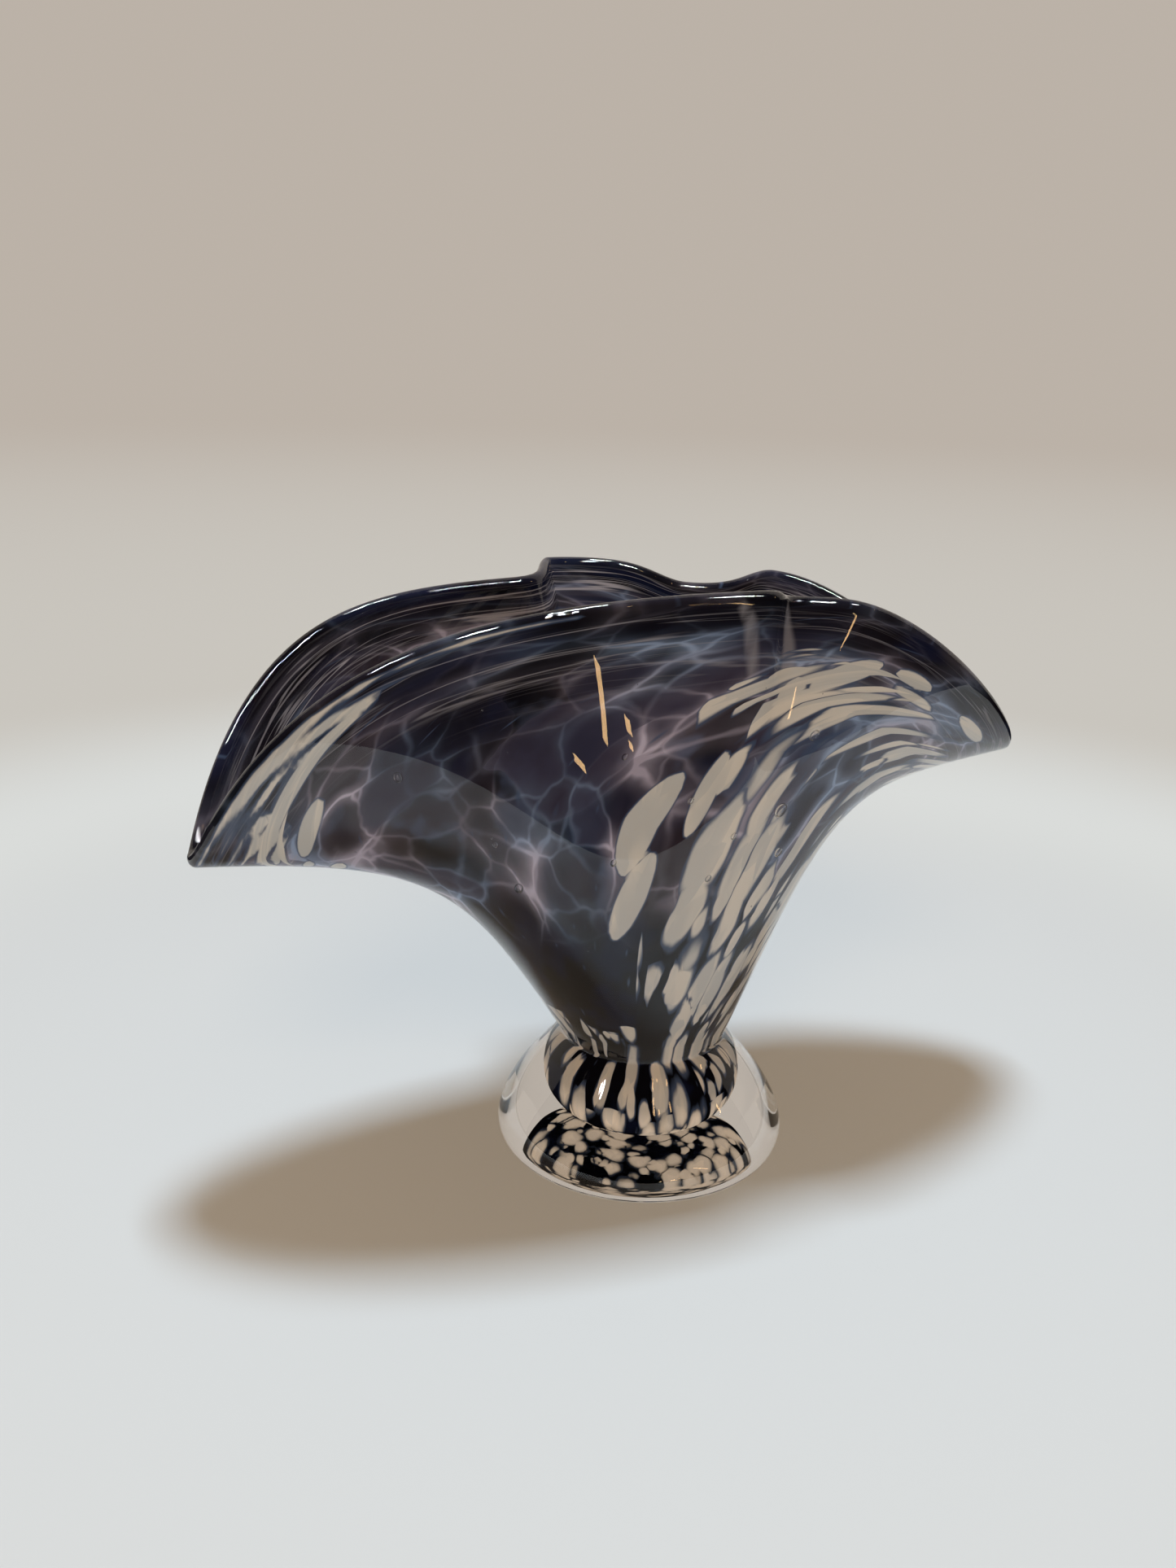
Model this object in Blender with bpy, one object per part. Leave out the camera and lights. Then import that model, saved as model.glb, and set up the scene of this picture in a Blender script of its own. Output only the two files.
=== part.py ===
# Hand-blown fan vase: a flared foot, a narrow waist and a wide folded mouth, in one piece of glass.
# Metres, +Z up. The origin is the middle of the foot, on the surface that it stands on.
# X runs along the fan, its left end is at -X, and its front is at -Y.

from collections import namedtuple
import math

import bmesh
import bpy
import numpy as np

# Foot, a bell turned about Z
FOOT_RADIUS = 0.0420
FOOT_EDGE_HEIGHT = 0.0055
FOOT_EDGE_UNDERCUT = 0.0035
FOOT_HIP_INSET = 0.0015
FOOT_HIP_RISE = 0.0115

# Waist, the narrowest place, where the foot meets the fan
WAIST_RADIUS = 0.0238
WAIST_HEIGHT = 0.0345
WAIST_FLARE = 0.0027
WAIST_DROP = 0.0055

# Belly, the lower guide ring that the fan's wall leans towards
BELLY_LEFT = 0.0554
BELLY_RIGHT = 0.0440
BELLY_DEPTH = 0.0410
BELLY_LEFT_HEIGHT = 0.0865
BELLY_RIGHT_HEIGHT = 0.1025
BELLY_SIDE_HEIGHT = 0.0850

# Shoulder, the upper guide ring, where the two ends turn outwards into spouts
SHOULDER_LEFT = 0.0618
SHOULDER_RIGHT = 0.0500
SHOULDER_DEPTH = 0.0410
SHOULDER_LEFT_HEIGHT = 0.0940
SHOULDER_RIGHT_HEIGHT = 0.1015
SHOULDER_SIDE_HEIGHT = 0.1230

# Mouth, where the outer face of the wall meets the rounded rim
MOUTH_LEFT = 0.1240
MOUTH_RIGHT = 0.1130
MOUTH_FRONT = 0.0460
MOUTH_BACK = 0.0400
LEFT_TIP_HEIGHT = 0.0990
RIGHT_TIP_HEIGHT = 0.1096
FRONT_CREST_HEIGHT = 0.1683
BACK_CREST_HEIGHT = 0.1589

# How round the sections are, 2 for an ellipse and more for a squarer one
GUIDE_SQUARENESS = 2.3
MOUTH_SQUARENESS = 2.0
CUP_SQUARENESS = 4.5

# How blunt the mouth is at its two tips, as a share of its half depth
TIP_BLUNTNESS = 0.10

# Wall, thick at the waist and thin at the rim
RIM_WALL = 0.0042
WAIST_WALL = 0.0118

# Cup, the bottom of the hollow, blown down into the foot
CUP_RADIUS = 0.0204
CUP_WIDEST_HEIGHT = 0.0185
CUP_FLOOR_HEIGHT = 0.0078
CUP_NECK_HEIGHT = 0.0330

# Climb of the mouth from a tip to its crest: how soon it starts and how soon it is full
Climb = namedtuple("Climb", "start full")
FRONT_LEFT_CLIMB = Climb(1.30, 1.52)
FRONT_RIGHT_CLIMB = Climb(1.63, 0.92)
BACK_LEFT_CLIMB = Climb(1.58, 2.33)
BACK_RIGHT_CLIMB = Climb(1.30, 1.30)

# Pleat, the sharp S-shaped fold at the back that stands out to its right
PLEAT_PLACE = -0.0115
PLEAT_LEFT_WIDTH = 0.0062
PLEAT_RIGHT_WIDTH = 0.0350
PLEAT_PUSH = 0.0170
PLEAT_LIFT = 0.0015

# Saddle, the dip in the back rim
SADDLE_PLACE = 0.0285
SADDLE_LEFT_WIDTH = 0.0115
SADDLE_RIGHT_WIDTH = 0.0260
SADDLE_DIP = 0.0050

# Hump, the wave in the back rim to the right of the saddle
HUMP_PLACE = 0.0567
HUMP_LEFT_WIDTH = 0.0125
HUMP_RIGHT_WIDTH = 0.0360
HUMP_PUSH = 0.0050
HUMP_LIFT = 0.0038

# Crease, the narrow dent pressed in below the front rim
CREASE_PLACE = 0.0195
CREASE_LEFT_WIDTH = 0.0052
CREASE_RIGHT_WIDTH = 0.0112
CREASE_DENT = 0.0072
CREASE_DIP = 0.0022

# Each fold: its side (+1 back, -1 front), its place along X, its widths to the left and
# right, its push outwards, its lift, and the share of the wall under it that stays smooth
Fold = namedtuple("Fold", "side place left right push lift smooth")
FOLDS = (
    Fold(+1, PLEAT_PLACE, PLEAT_LEFT_WIDTH, PLEAT_RIGHT_WIDTH, PLEAT_PUSH, PLEAT_LIFT, 0.15),
    Fold(+1, SADDLE_PLACE, SADDLE_LEFT_WIDTH, SADDLE_RIGHT_WIDTH, 0, -SADDLE_DIP, 0.30),
    Fold(+1, HUMP_PLACE, HUMP_LEFT_WIDTH, HUMP_RIGHT_WIDTH, HUMP_PUSH, HUMP_LIFT, 0.10),
    Fold(-1, CREASE_PLACE, CREASE_LEFT_WIDTH, CREASE_RIGHT_WIDTH, -CREASE_DENT, -CREASE_DIP, 0.62),
)

# Mesh steps
COLUMNS = 84
EDGE_STEPS = 3
BELL_STEPS = 7
WALL_STEPS = 18
RIM_STEPS = 5
LINING_STEPS = 14
CUP_STEPS = 11
FOLD_CROWDING = 1.2
FOLD_CROWDING_WIDTH = 1.3
FOLD_FADE_AT_TIPS = 4.0
ANGLE_SAMPLES = 4001
SHARP_ANGLE = math.radians(40)

# Glass
GLASS_COLOUR = (0.055, 0.045, 0.085, 1.0)
GLASS_ROUGHNESS = 0.04
GLASS_IOR = 1.5


def clear_scene():
    for item in list(bpy.data.objects):
        bpy.data.objects.remove(item, do_unlink=True)


def unit(vectors):
    return vectors / np.linalg.norm(vectors, axis=-1, keepdims=True)


def bezier(points, t):
    """The cubic curve through four control points, or through four rings of them."""
    a, b, c, d = points
    return (1 - t) ** 3 * a + 3 * (1 - t) ** 2 * t * b + 3 * (1 - t) * t * t * c + t ** 3 * d


def circle(angles, radius, height):
    return np.stack([radius * np.cos(angles), radius * np.sin(angles), height + 0 * angles], -1)


def column_angles(count=COLUMNS):
    """Angles round the vase, closer together where a fold needs them."""
    fine = np.linspace(0, 2 * math.pi, ANGLE_SAMPLES)
    crowding = np.ones_like(fine)
    for fold in FOLDS:
        crowding += FOLD_CROWDING * fold_share(fine, fold, FOLD_CROWDING_WIDTH)
    total = np.concatenate([[0.0], np.cumsum((crowding[1:] + crowding[:-1]) / 2)])
    return np.interp(np.arange(count) / count, total / total[-1], fine)


def fold_share(angles, fold, widen=1.0):
    """How strongly a fold acts at each angle, from 0 to 1."""
    along, across = np.cos(angles), np.sin(angles)
    offset = (MOUTH_LEFT + MOUTH_RIGHT) / 2 * along - fold.place
    width = widen * np.where(offset < 0, fold.left, fold.right)
    own_side = np.clip(fold.side * across * FOLD_FADE_AT_TIPS, 0, 1)
    return np.exp(-((offset / width) ** 2)) * own_side


def softened(across):
    """The distance from the tips, rounded off where it would make a sharp corner."""
    blunt = TIP_BLUNTNESS
    return (np.sqrt(across ** 2 + blunt ** 2) - blunt) / (math.sqrt(1 + blunt ** 2) - blunt)


def climb(angles):
    """How far the mouth has climbed from its tips, 0, to its crests, 1."""
    along, across = np.cos(angles), np.sin(angles)
    to_right = 0.5 + 0.5 * np.sin(math.pi / 2 * along)
    front, back = (
        [left + (right - left) * to_right for left, right in zip(*pair)]
        for pair in ((FRONT_LEFT_CLIMB, FRONT_RIGHT_CLIMB), (BACK_LEFT_CLIMB, BACK_RIGHT_CLIMB))
    )
    start = np.where(across < 0, front[0], back[0])
    full = np.where(across < 0, front[1], back[1])
    return 1 - np.maximum(0, 1 - softened(across) ** start) ** full


def ring(angles, reaches, depths, tips, crests, squareness, rise):
    """A closed ring, with its own size and height at the left, right, front and back."""
    along, across = np.cos(angles), np.sin(angles)
    reach = np.where(along < 0, *reaches)
    depth = np.where(across < 0, *depths)
    tip = tips[0] + (tips[1] - tips[0]) * (0.5 + 0.5 * along)
    crest = np.where(across < 0, *crests)
    power = 2 / squareness
    x = reach * np.sign(along) * np.abs(along) ** power
    y = depth * np.sign(across) * np.abs(across) ** power
    return np.stack([x, y, tip + (crest - tip) * rise], -1)


def plain_wall(angles, t):
    """The outer face of the fan without its folds, from the waist, 0, to the mouth, 1."""
    waist = circle(angles, WAIST_RADIUS, WAIST_HEIGHT)
    belly = ring(
        angles, (BELLY_LEFT, BELLY_RIGHT), (BELLY_DEPTH, BELLY_DEPTH),
        (BELLY_LEFT_HEIGHT, BELLY_RIGHT_HEIGHT), (BELLY_SIDE_HEIGHT, BELLY_SIDE_HEIGHT),
        GUIDE_SQUARENESS, softened(np.sin(angles)))
    shoulder = ring(
        angles, (SHOULDER_LEFT, SHOULDER_RIGHT), (SHOULDER_DEPTH, SHOULDER_DEPTH),
        (SHOULDER_LEFT_HEIGHT, SHOULDER_RIGHT_HEIGHT),
        (SHOULDER_SIDE_HEIGHT, SHOULDER_SIDE_HEIGHT),
        GUIDE_SQUARENESS, softened(np.sin(angles)))
    mouth = ring(
        angles, (MOUTH_LEFT, MOUTH_RIGHT), (MOUTH_FRONT, MOUTH_BACK),
        (LEFT_TIP_HEIGHT, RIGHT_TIP_HEIGHT), (FRONT_CREST_HEIGHT, BACK_CREST_HEIGHT),
        MOUTH_SQUARENESS, climb(angles))
    return bezier((waist, belly, shoulder, mouth), t[:, None, None])


def fold_shift(angles, t):
    """How far the folds move the wall."""
    shift = np.zeros((len(t), len(angles), 3))
    for fold in FOLDS:
        grown = np.clip((t - fold.smooth) / (1 - fold.smooth), 0, 1) ** 2
        share = grown[:, None] * fold_share(angles, fold)[None, :]
        shift[..., 1] += fold.side * fold.push * share
        shift[..., 2] += fold.lift * share
    return shift


def face_normals(rows):
    """Outward directions on rows of points that close round the vase."""
    around = np.roll(rows, -1, 1) - np.roll(rows, 1, 1)
    return unit(np.cross(around, np.gradient(rows, axis=0)))


def fan_walls(angles, t):
    """The outer face, the inner face and the direction between them."""
    plain = plain_wall(angles, t)
    outer = plain + fold_shift(angles, t)
    outward = unit(face_normals(outer) + face_normals(plain))
    wall = RIM_WALL + (WAIST_WALL - RIM_WALL) * (1 - t) ** 2
    return outer, outer - wall[:, None, None] * outward, outward


def foot_outline():
    """Radius and height of the foot, from the base up to just under the waist."""
    base_radius = FOOT_RADIUS - FOOT_EDGE_UNDERCUT
    outline = []
    for step in range(EDGE_STEPS):
        turn = math.pi / 2 * step / EDGE_STEPS
        outline.append((base_radius + FOOT_EDGE_UNDERCUT * math.sin(turn),
                        FOOT_EDGE_HEIGHT * (1 - math.cos(turn))))
    bell = np.array([
        (FOOT_RADIUS, FOOT_EDGE_HEIGHT),
        (FOOT_RADIUS - FOOT_HIP_INSET, FOOT_EDGE_HEIGHT + FOOT_HIP_RISE),
        (WAIST_RADIUS + WAIST_FLARE, WAIST_HEIGHT - WAIST_DROP),
        (WAIST_RADIUS, WAIST_HEIGHT),
    ])
    outline += [tuple(bezier(bell, step / BELL_STEPS)) for step in range(BELL_STEPS)]
    return outline


def cup_outline():
    """Radius and height of the hollow below the waist, from its neck down to its floor."""
    neck_radius = WAIST_RADIUS - WAIST_WALL
    half_drop = (CUP_NECK_HEIGHT - CUP_WIDEST_HEIGHT) / 2
    neck = np.array([
        (neck_radius, CUP_NECK_HEIGHT),
        (neck_radius, CUP_NECK_HEIGHT - half_drop),
        (CUP_RADIUS, CUP_WIDEST_HEIGHT + half_drop),
        (CUP_RADIUS, CUP_WIDEST_HEIGHT),
    ])
    neck_steps = CUP_STEPS // 2
    outline = [tuple(bezier(neck, step / neck_steps)) for step in range(neck_steps)]
    bowl_steps = CUP_STEPS - neck_steps
    bowl_depth = CUP_WIDEST_HEIGHT - CUP_FLOOR_HEIGHT
    power = 2 / CUP_SQUARENESS
    for step in range(bowl_steps):
        turn = math.pi / 2 * step / bowl_steps
        outline.append((CUP_RADIUS * math.cos(turn) ** power,
                        CUP_WIDEST_HEIGHT - bowl_depth * math.sin(turn) ** power))
    return outline


def rim_rows(outer, inner, outward, up_the_wall):
    """The half-round rim, between the outer face and the inner face."""
    middle = (outer + inner) / 2
    radius = np.linalg.norm(outer - inner, axis=-1, keepdims=True) / 2
    across_wall = unit(up_the_wall - outward * np.sum(up_the_wall * outward, -1, keepdims=True))
    rows = []
    for step in range(1, RIM_STEPS):
        turn = math.pi * step / RIM_STEPS
        rows.append(middle + radius * (math.cos(turn) * outward + math.sin(turn) * across_wall))
    return rows


def vase_rows():
    """Rings of points over the whole skin, from the base's edge, over the rim, to the cup."""
    angles = column_angles()
    rows = [circle(angles, *point) for point in foot_outline()]
    t = np.linspace(0, 1, WALL_STEPS + 1)
    outer, inner, outward = fan_walls(angles, t)
    rows += list(outer)
    up_the_wall = unit(outer[-1] - outer[-2])
    rows += rim_rows(outer[-1], inner[-1], outward[-1], up_the_wall)
    lining = fan_walls(angles, np.linspace(0, 1, LINING_STEPS + 1))[1]
    rows += list(lining[::-1])
    rows += [circle(angles, *point) for point in cup_outline()]
    return rows


def lofted_mesh(name, rows, first_pole, last_pole):
    """A closed skin through rings of points, with a pole at each end."""
    build = bmesh.new()
    rings = [[build.verts.new(point) for point in row] for row in rows]
    columns = len(rings[0])
    for lower, upper in zip(rings, rings[1:]):
        for here in range(columns):
            there = (here + 1) % columns
            build.faces.new((lower[here], lower[there], upper[there], upper[here]))
    for pole, edge_ring in ((first_pole, rings[0][::-1]), (last_pole, rings[-1])):
        tip = build.verts.new(pole)
        for here in range(columns):
            build.faces.new((tip, edge_ring[here], edge_ring[(here + 1) % columns]))
    mesh = bpy.data.meshes.new(name)
    build.to_mesh(mesh)
    build.free()
    return mesh


def glass_material():
    material = bpy.data.materials.new("dark_cased_glass")
    material.use_nodes = True
    shader = material.node_tree.nodes["Principled BSDF"]
    shader.inputs["Base Color"].default_value = GLASS_COLOUR
    shader.inputs["Roughness"].default_value = GLASS_ROUGHNESS
    shader.inputs["Metallic"].default_value = 0.0
    shader.inputs["IOR"].default_value = GLASS_IOR
    return material


def make_vase():
    mesh = lofted_mesh("vase", vase_rows(), (0, 0, 0), (0, 0, CUP_FLOOR_HEIGHT))
    mesh.shade_smooth()
    mesh.set_sharp_from_angle(angle=SHARP_ANGLE)
    mesh.materials.append(glass_material())
    vase = bpy.data.objects.new("vase", mesh)
    bpy.context.scene.collection.objects.link(vase)
    return vase


def main():
    clear_scene()
    make_vase()


main()
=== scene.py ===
# Hand-blown fan vase: thick clear glass over a thin dark layer that is strewn with cream specks.
# Metres, +Z up. X runs along the fan, its left end is at -X, and its front is at -Y.

import math
from collections import namedtuple

import bpy
import numpy as np
from mathutils import Matrix, Vector


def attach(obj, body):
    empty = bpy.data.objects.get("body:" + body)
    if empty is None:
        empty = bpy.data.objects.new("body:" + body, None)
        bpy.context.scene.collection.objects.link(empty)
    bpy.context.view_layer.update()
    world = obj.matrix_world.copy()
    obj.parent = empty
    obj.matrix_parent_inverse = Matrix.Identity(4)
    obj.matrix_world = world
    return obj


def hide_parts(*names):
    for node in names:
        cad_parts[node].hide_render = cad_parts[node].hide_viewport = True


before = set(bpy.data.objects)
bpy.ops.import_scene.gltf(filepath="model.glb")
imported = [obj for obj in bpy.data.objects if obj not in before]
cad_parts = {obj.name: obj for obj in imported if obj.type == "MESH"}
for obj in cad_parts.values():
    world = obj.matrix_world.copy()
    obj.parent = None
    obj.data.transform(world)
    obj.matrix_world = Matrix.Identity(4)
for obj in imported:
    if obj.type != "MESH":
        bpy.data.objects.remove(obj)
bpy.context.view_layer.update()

# Foot, a bell turned about Z
FOOT_RADIUS = 0.0420
FOOT_EDGE_HEIGHT = 0.0055
FOOT_EDGE_UNDERCUT = 0.0035
FOOT_HIP_INSET = 0.0015
FOOT_HIP_RISE = 0.0115

# Waist, the narrowest place, where the foot meets the fan
WAIST_RADIUS = 0.0238
WAIST_HEIGHT = 0.0345
WAIST_FLARE = 0.0027
WAIST_DROP = 0.0055

# Belly, the lower guide ring that the fan's wall leans towards
BELLY_LEFT = 0.0554
BELLY_RIGHT = 0.0440
BELLY_DEPTH = 0.0410
BELLY_LEFT_HEIGHT = 0.0865
BELLY_RIGHT_HEIGHT = 0.1025
BELLY_SIDE_HEIGHT = 0.0850

# Shoulder, the upper guide ring, where the two ends turn outwards into spouts
SHOULDER_LEFT = 0.0618
SHOULDER_RIGHT = 0.0500
SHOULDER_DEPTH = 0.0410
SHOULDER_LEFT_HEIGHT = 0.0940
SHOULDER_RIGHT_HEIGHT = 0.1015
SHOULDER_SIDE_HEIGHT = 0.1230

# Mouth, where the outer face of the wall meets the rounded rim
MOUTH_LEFT = 0.1240
MOUTH_RIGHT = 0.1130
MOUTH_FRONT = 0.0460
MOUTH_BACK = 0.0400
LEFT_TIP_HEIGHT = 0.0990
RIGHT_TIP_HEIGHT = 0.1096
FRONT_CREST_HEIGHT = 0.1683
BACK_CREST_HEIGHT = 0.1589

# How round the sections are, 2 for an ellipse and more for a squarer one
GUIDE_SQUARENESS = 2.3
MOUTH_SQUARENESS = 2.0

# How blunt the mouth is at its two tips, as a share of its half depth
TIP_BLUNTNESS = 0.10

# Wall, thick at the waist and thin at the rim
RIM_WALL = 0.0042
WAIST_WALL = 0.0118

# Cup, the bottom of the hollow, blown down into the foot
CUP_RADIUS = 0.0204
CUP_WIDEST_HEIGHT = 0.0185
CUP_SQUARENESS = 4.5
CUP_FLOOR_HEIGHT = 0.0078
CUP_NECK_HEIGHT = 0.0330

# Climb of the mouth from a tip to its crest: how soon it starts and how soon it is full
Climb = namedtuple("Climb", "start full")
FRONT_LEFT_CLIMB = Climb(1.30, 1.52)
FRONT_RIGHT_CLIMB = Climb(1.63, 0.92)
BACK_LEFT_CLIMB = Climb(1.58, 2.33)
BACK_RIGHT_CLIMB = Climb(1.30, 1.30)

# Folds pressed into the wall: its side (+1 back, -1 front), the place along X, the widths
# to the left and right, the push outwards, the lift, and the share of the wall left smooth
Fold = namedtuple("Fold", "side place left right push lift smooth")
FOLDS = (
    Fold(+1, -0.0115, 0.0062, 0.0350, +0.0170, +0.0015, 0.15),
    Fold(+1, +0.0285, 0.0115, 0.0260, +0.0000, -0.0050, 0.30),
    Fold(+1, +0.0567, 0.0125, 0.0360, +0.0050, +0.0038, 0.10),
    Fold(-1, +0.0195, 0.0052, 0.0112, -0.0072, -0.0022, 0.62),
)
FOLD_CROWDING = 1.2
FOLD_CROWDING_REACH = 1.3
FOLD_FADE_AT_TIPS = 4.0

# Air bubbles in the clear glass outside the layer, the larger ones one by one: the angle in
# degrees, the share of the wall and the radius
Bubble = namedtuple("Bubble", "angle share radius")
LARGE_BUBBLES = (
    Bubble(-144, 0.83, 0.0013),
    Bubble(-72, 0.57, 0.0016),
    Bubble(-142, 0.46, 0.0012),
    Bubble(-70, 0.74, 0.0013),
    Bubble(-140, 0.59, 0.0008),
    Bubble(-95, 0.61, 0.0008),
    Bubble(-113, 0.49, 0.0008),
    Bubble(-67, 0.47, 0.0011),
    Bubble(-90, 0.43, 0.0008),
    Bubble(-107, 0.72, 0.0007),
    Bubble(-85, 0.52, 0.0008),
    Bubble(40, 0.60, 0.0012),
    Bubble(95, 0.50, 0.0010),
    Bubble(150, 0.72, 0.0011),
)

# Small bubbles, strewn over a part of the wall
SMALL_BUBBLES = 70
SMALL_BUBBLE_RADII = (0.00012, 0.00045)
SMALL_BUBBLE_SHARES = (0.12, 0.93)
BUBBLE_SEED = 7

# Every bubble: its depth and its largest radius, as shares of the clear glass, its form, and
# how far to each side of it the run of the glass is read, in radians and in shares of the wall
BUBBLE_DEPTH = 0.50
BUBBLE_LIMIT = 0.44
BUBBLE_STRETCH = 1.35
BUBBLE_ROUNDNESS = 3
BUBBLE_NEAR = 0.01

# Coloured layer inside the wall: clear glass lines it, and covers it on the outside
LINING = 0.0008
LAYER = 0.0009
LIP_LAYER = 0.0027
LIP_START = 0.93
LAYER_LIP = 0.0004

# The clear skin lies this far inside the solid's own, which has coarser steps
SKIN_INSET = 0.00009

# Mesh steps
COLUMNS = 336
EDGE_STEPS = 8
BELL_STEPS = 26
WALL_STEPS = 96
RIM_STEPS = 12
LINING_STEPS = 84
CUP_STEPS = 28
LAYER_RIM_STEPS = 6
STREAK_STEPS = 6
FLOOR_SIDES = 96
ANGLE_SAMPLES = 4001
GATHER_SAMPLES = 401

# The gather before it was blown out: specks are round on it, and stretch with the glass.
# At shares of the way to the mouth: how far round the specks and the web were twisted, in
# degrees, the gather's radius, and how far it ran up for each metre of finished wall
GATHER_PLACES = (0.0, 0.15, 0.35, 0.55, 0.70, 0.80, 0.90, 1.0)
GATHER_TURNS = (0, 4, 11, 18, 26, 38, 62, 104)
WEB_TURNS = (0, 4, 11, 17, 22, 27, 34, 46)
GATHER_RADII = (0.019, 0.022, 0.026, 0.029, 0.031, 0.032, 0.032, 0.032)
GATHER_RATES = (0.36, 0.17, 0.085, 0.085, 0.11, 0.15, 0.22, 0.36)
WALL_LENGTH = 0.132

# The cup on the gather: how far it ran down for each metre of side and of floor, how high the
# floor's rounding reaches, how far down the cup starts, and the wall share that stands for it
CUP_RATE = 0.24
CUP_FLOOR_RATE = 0.75
CUP_ROUNDING = 0.0030
CUP_START = 0.0005
CUP_SHARE = -0.1

# Single specks that were drawn out long: how wide each is, and the (angle in degrees, share of
# the wall) places that it runs through
Streak = namedtuple("Streak", "width places")
STREAKS = (
    Streak(0.0076, ((-116.5, 0.300), (-109, 0.400), (-103, 0.490))),
    Streak(0.0092, ((-110.5, 0.460), (-105, 0.570), (-97, 0.660))),
    Streak(0.0058, ((-95.0, 0.530), (-89, 0.700))),
    Streak(0.0052, ((-80.0, 0.790), (-76, 0.850))),
    Streak(0.0060, ((-74.0, 0.835), (-63, 0.915))),
    Streak(0.0040, ((-59.0, 0.920), (-50, 0.930))),
    Streak(0.0032, ((-58.0, 0.890), (-45, 0.900))),
    Streak(0.0045, ((-38.0, 0.935), (-24, 0.945))),
    Streak(0.0048, ((-171.0, 0.850), (-155, 0.892))),
    Streak(0.0024, ((-178.0, 0.885), (-162, 0.905))),
    Streak(0.0040, ((-179.0, 0.908), (-165, 0.925), (-155, 0.941), (-146, 0.956), (-136, 0.968))),
    Streak(0.0024, ((-179.0, 0.938), (-166, 0.942), (-160, 0.952))),
    Streak(0.0021, ((-179.0, 0.960), (-164, 0.962), (-152, 0.973), (-142, 0.980), (-130, 0.984))),
    Streak(0.0018, ((-179.0, 0.980), (-164, 0.984), (-150, 0.992), (-138, 0.997), (-112, 1.000))),
    Streak(0.0012, ((-179.0, 1.000), (-150, 1.000), (-108, 1.000))),
    Streak(0.0044, ((-180.0, 0.770), (-174, 0.772))),
    Streak(0.0032, ((-180.0, 0.828), (-174, 0.832))),
)
STREAK_TAPER = 0.88
FAR_OUTSIDE = -0.01

# Pale creases that run down from the rim at the front fold, made as the specks are
CREASES = (
    Streak(0.0030, ((-90.0, 1.000), (-88, 0.960), (-87, 0.900), (-86, 0.840))),
    Streak(0.0040, ((-82.0, 1.000), (-80, 0.920), (-79, 0.850), (-80, 0.780))),
)

# How thickly specks lie in a band up the right of the front, which turns as it climbs. Each pair
# goes from none to full, by the angle in degrees or by the share of the wall
BAND_SPECKS = 0.54
BAND_TWIST = 33
BAND_LEFT = (-122, -106)
BAND_RIGHT = (-15, -40)
BAND_TOP = (0.93, 0.85)

# The same along the lip of the left end, where they start higher further from its middle
LIP_PATCH_SPECKS = 0.12
LIP_PATCH_MIDDLE = 183
LIP_PATCH_REACH = (62, 40)
LIP_PATCH_START = (0.76, 0.84)
LIP_PATCH_CLIMB = 240
LIP_PATCH_TOP = (0.995, 0.97)

# The same on the foot, and more of them under the cup, by height
FOOT_SPECKS = 0.52
FOOT_SPECKS_TOP = (0.10, 0.0)
UNDERSIDE_SPECKS = 0.22
UNDERSIDE_HEIGHTS = (0.0190, 0.0120)

# Where the web of veins shows, by the share of the wall, and one dark place with hardly any
# veins: its middle, and how far it reaches
WEB_START = (0.24, 0.55)
WEB_END = (0.965, 0.90)
WEB_AT_LIP = 0.12
DARK_PLACE = ((-128, 0.87), (15, 0.09))
DARK_PLACE_DEPTH = 0.8

# Where the pale threads along the rim show, by the share of the wall
THREADS_START = 0.62
THREADS_START_IN_FRONT = 0.82
THREADS_FADE_IN = 0.14
THREADS_END = (1, 0.98)
THREADS_LOST_IN_FRONT = 0.40
FRONT_SHARPNESS = 3

# Colours
CLEAR_GLASS = (0.985, 0.99, 0.99, 1)
DARK_GLASS = (0.0030, 0.0028, 0.0048, 1)
COBALT_GLASS = (0.006, 0.009, 0.030, 1)
VIOLET_GLASS = (0.026, 0.016, 0.024, 1)
BLUE_CELL = (0.026, 0.034, 0.072, 1)
GLOWING_GLASS = (0.055, 0.044, 0.070, 1)
BLUE_GLOW = (0.075, 0.095, 0.165, 1)
VEIN_COLOUR = (0.48, 0.43, 0.53, 1)
VEIN_BLUE = (0.26, 0.34, 0.50, 1)
# Painted glow on the specks under the cup: an emission that stands in for light that the foot gathers
UNDERSIDE_PAINTED_GLOW = (0.27, 0.205, 0.150, 1)
LIP_GLOW = (0.075, 0.068, 0.09, 1)
LIP_LINE = (0.38, 0.36, 0.39, 1)
CREAM = (0.68, 0.625, 0.555, 1)
CREAM_GREY = (0.52, 0.505, 0.48, 1)
SPECK_EDGE = (0.060, 0.085, 0.15, 1)
GLASS_IOR = 1.5

# Soft patches of tint: the noise they come from, and where on it they start and are full
Patches = namedtuple("Patches", "scale detail seed low high")
COBALT_PATCHES = Patches(90.0, 2.0, 0.0, 0.52, 0.64)
VIOLET_PATCHES = Patches(110.0, 2.0, 0.3, 0.50, 0.64)
BLUE_PATCHES = Patches(130.0, 3.0, 1.1, 0.56, 0.68)
BLUE_VEIN_PATCHES = Patches(70.0, 1.0, 5.0, 0.44, 0.60)
COBALT_TINT = 0.7
WEB_TINT = 0.6

# Two webs of veins: how fine the cells are, how strong, and the patches outside which they fade
Web = namedtuple("Web", "scale seed strength fading")
WEBS = (
    Web(84.0, 1.0, 1.0, Patches(75.0, 2.0, 4.0, 0.38, 0.60)),
    Web(135.0, 2.0, 0.75, Patches(75.0, 2.0, 5.0, 0.38, 0.60)),
)
WEB_SQUASH = (1, 1, 3.6)
WEB_WOBBLES = ((45.0, 0.010), (170.0, 0.0030))
FAINTEST_VEIN = 0.12

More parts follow.
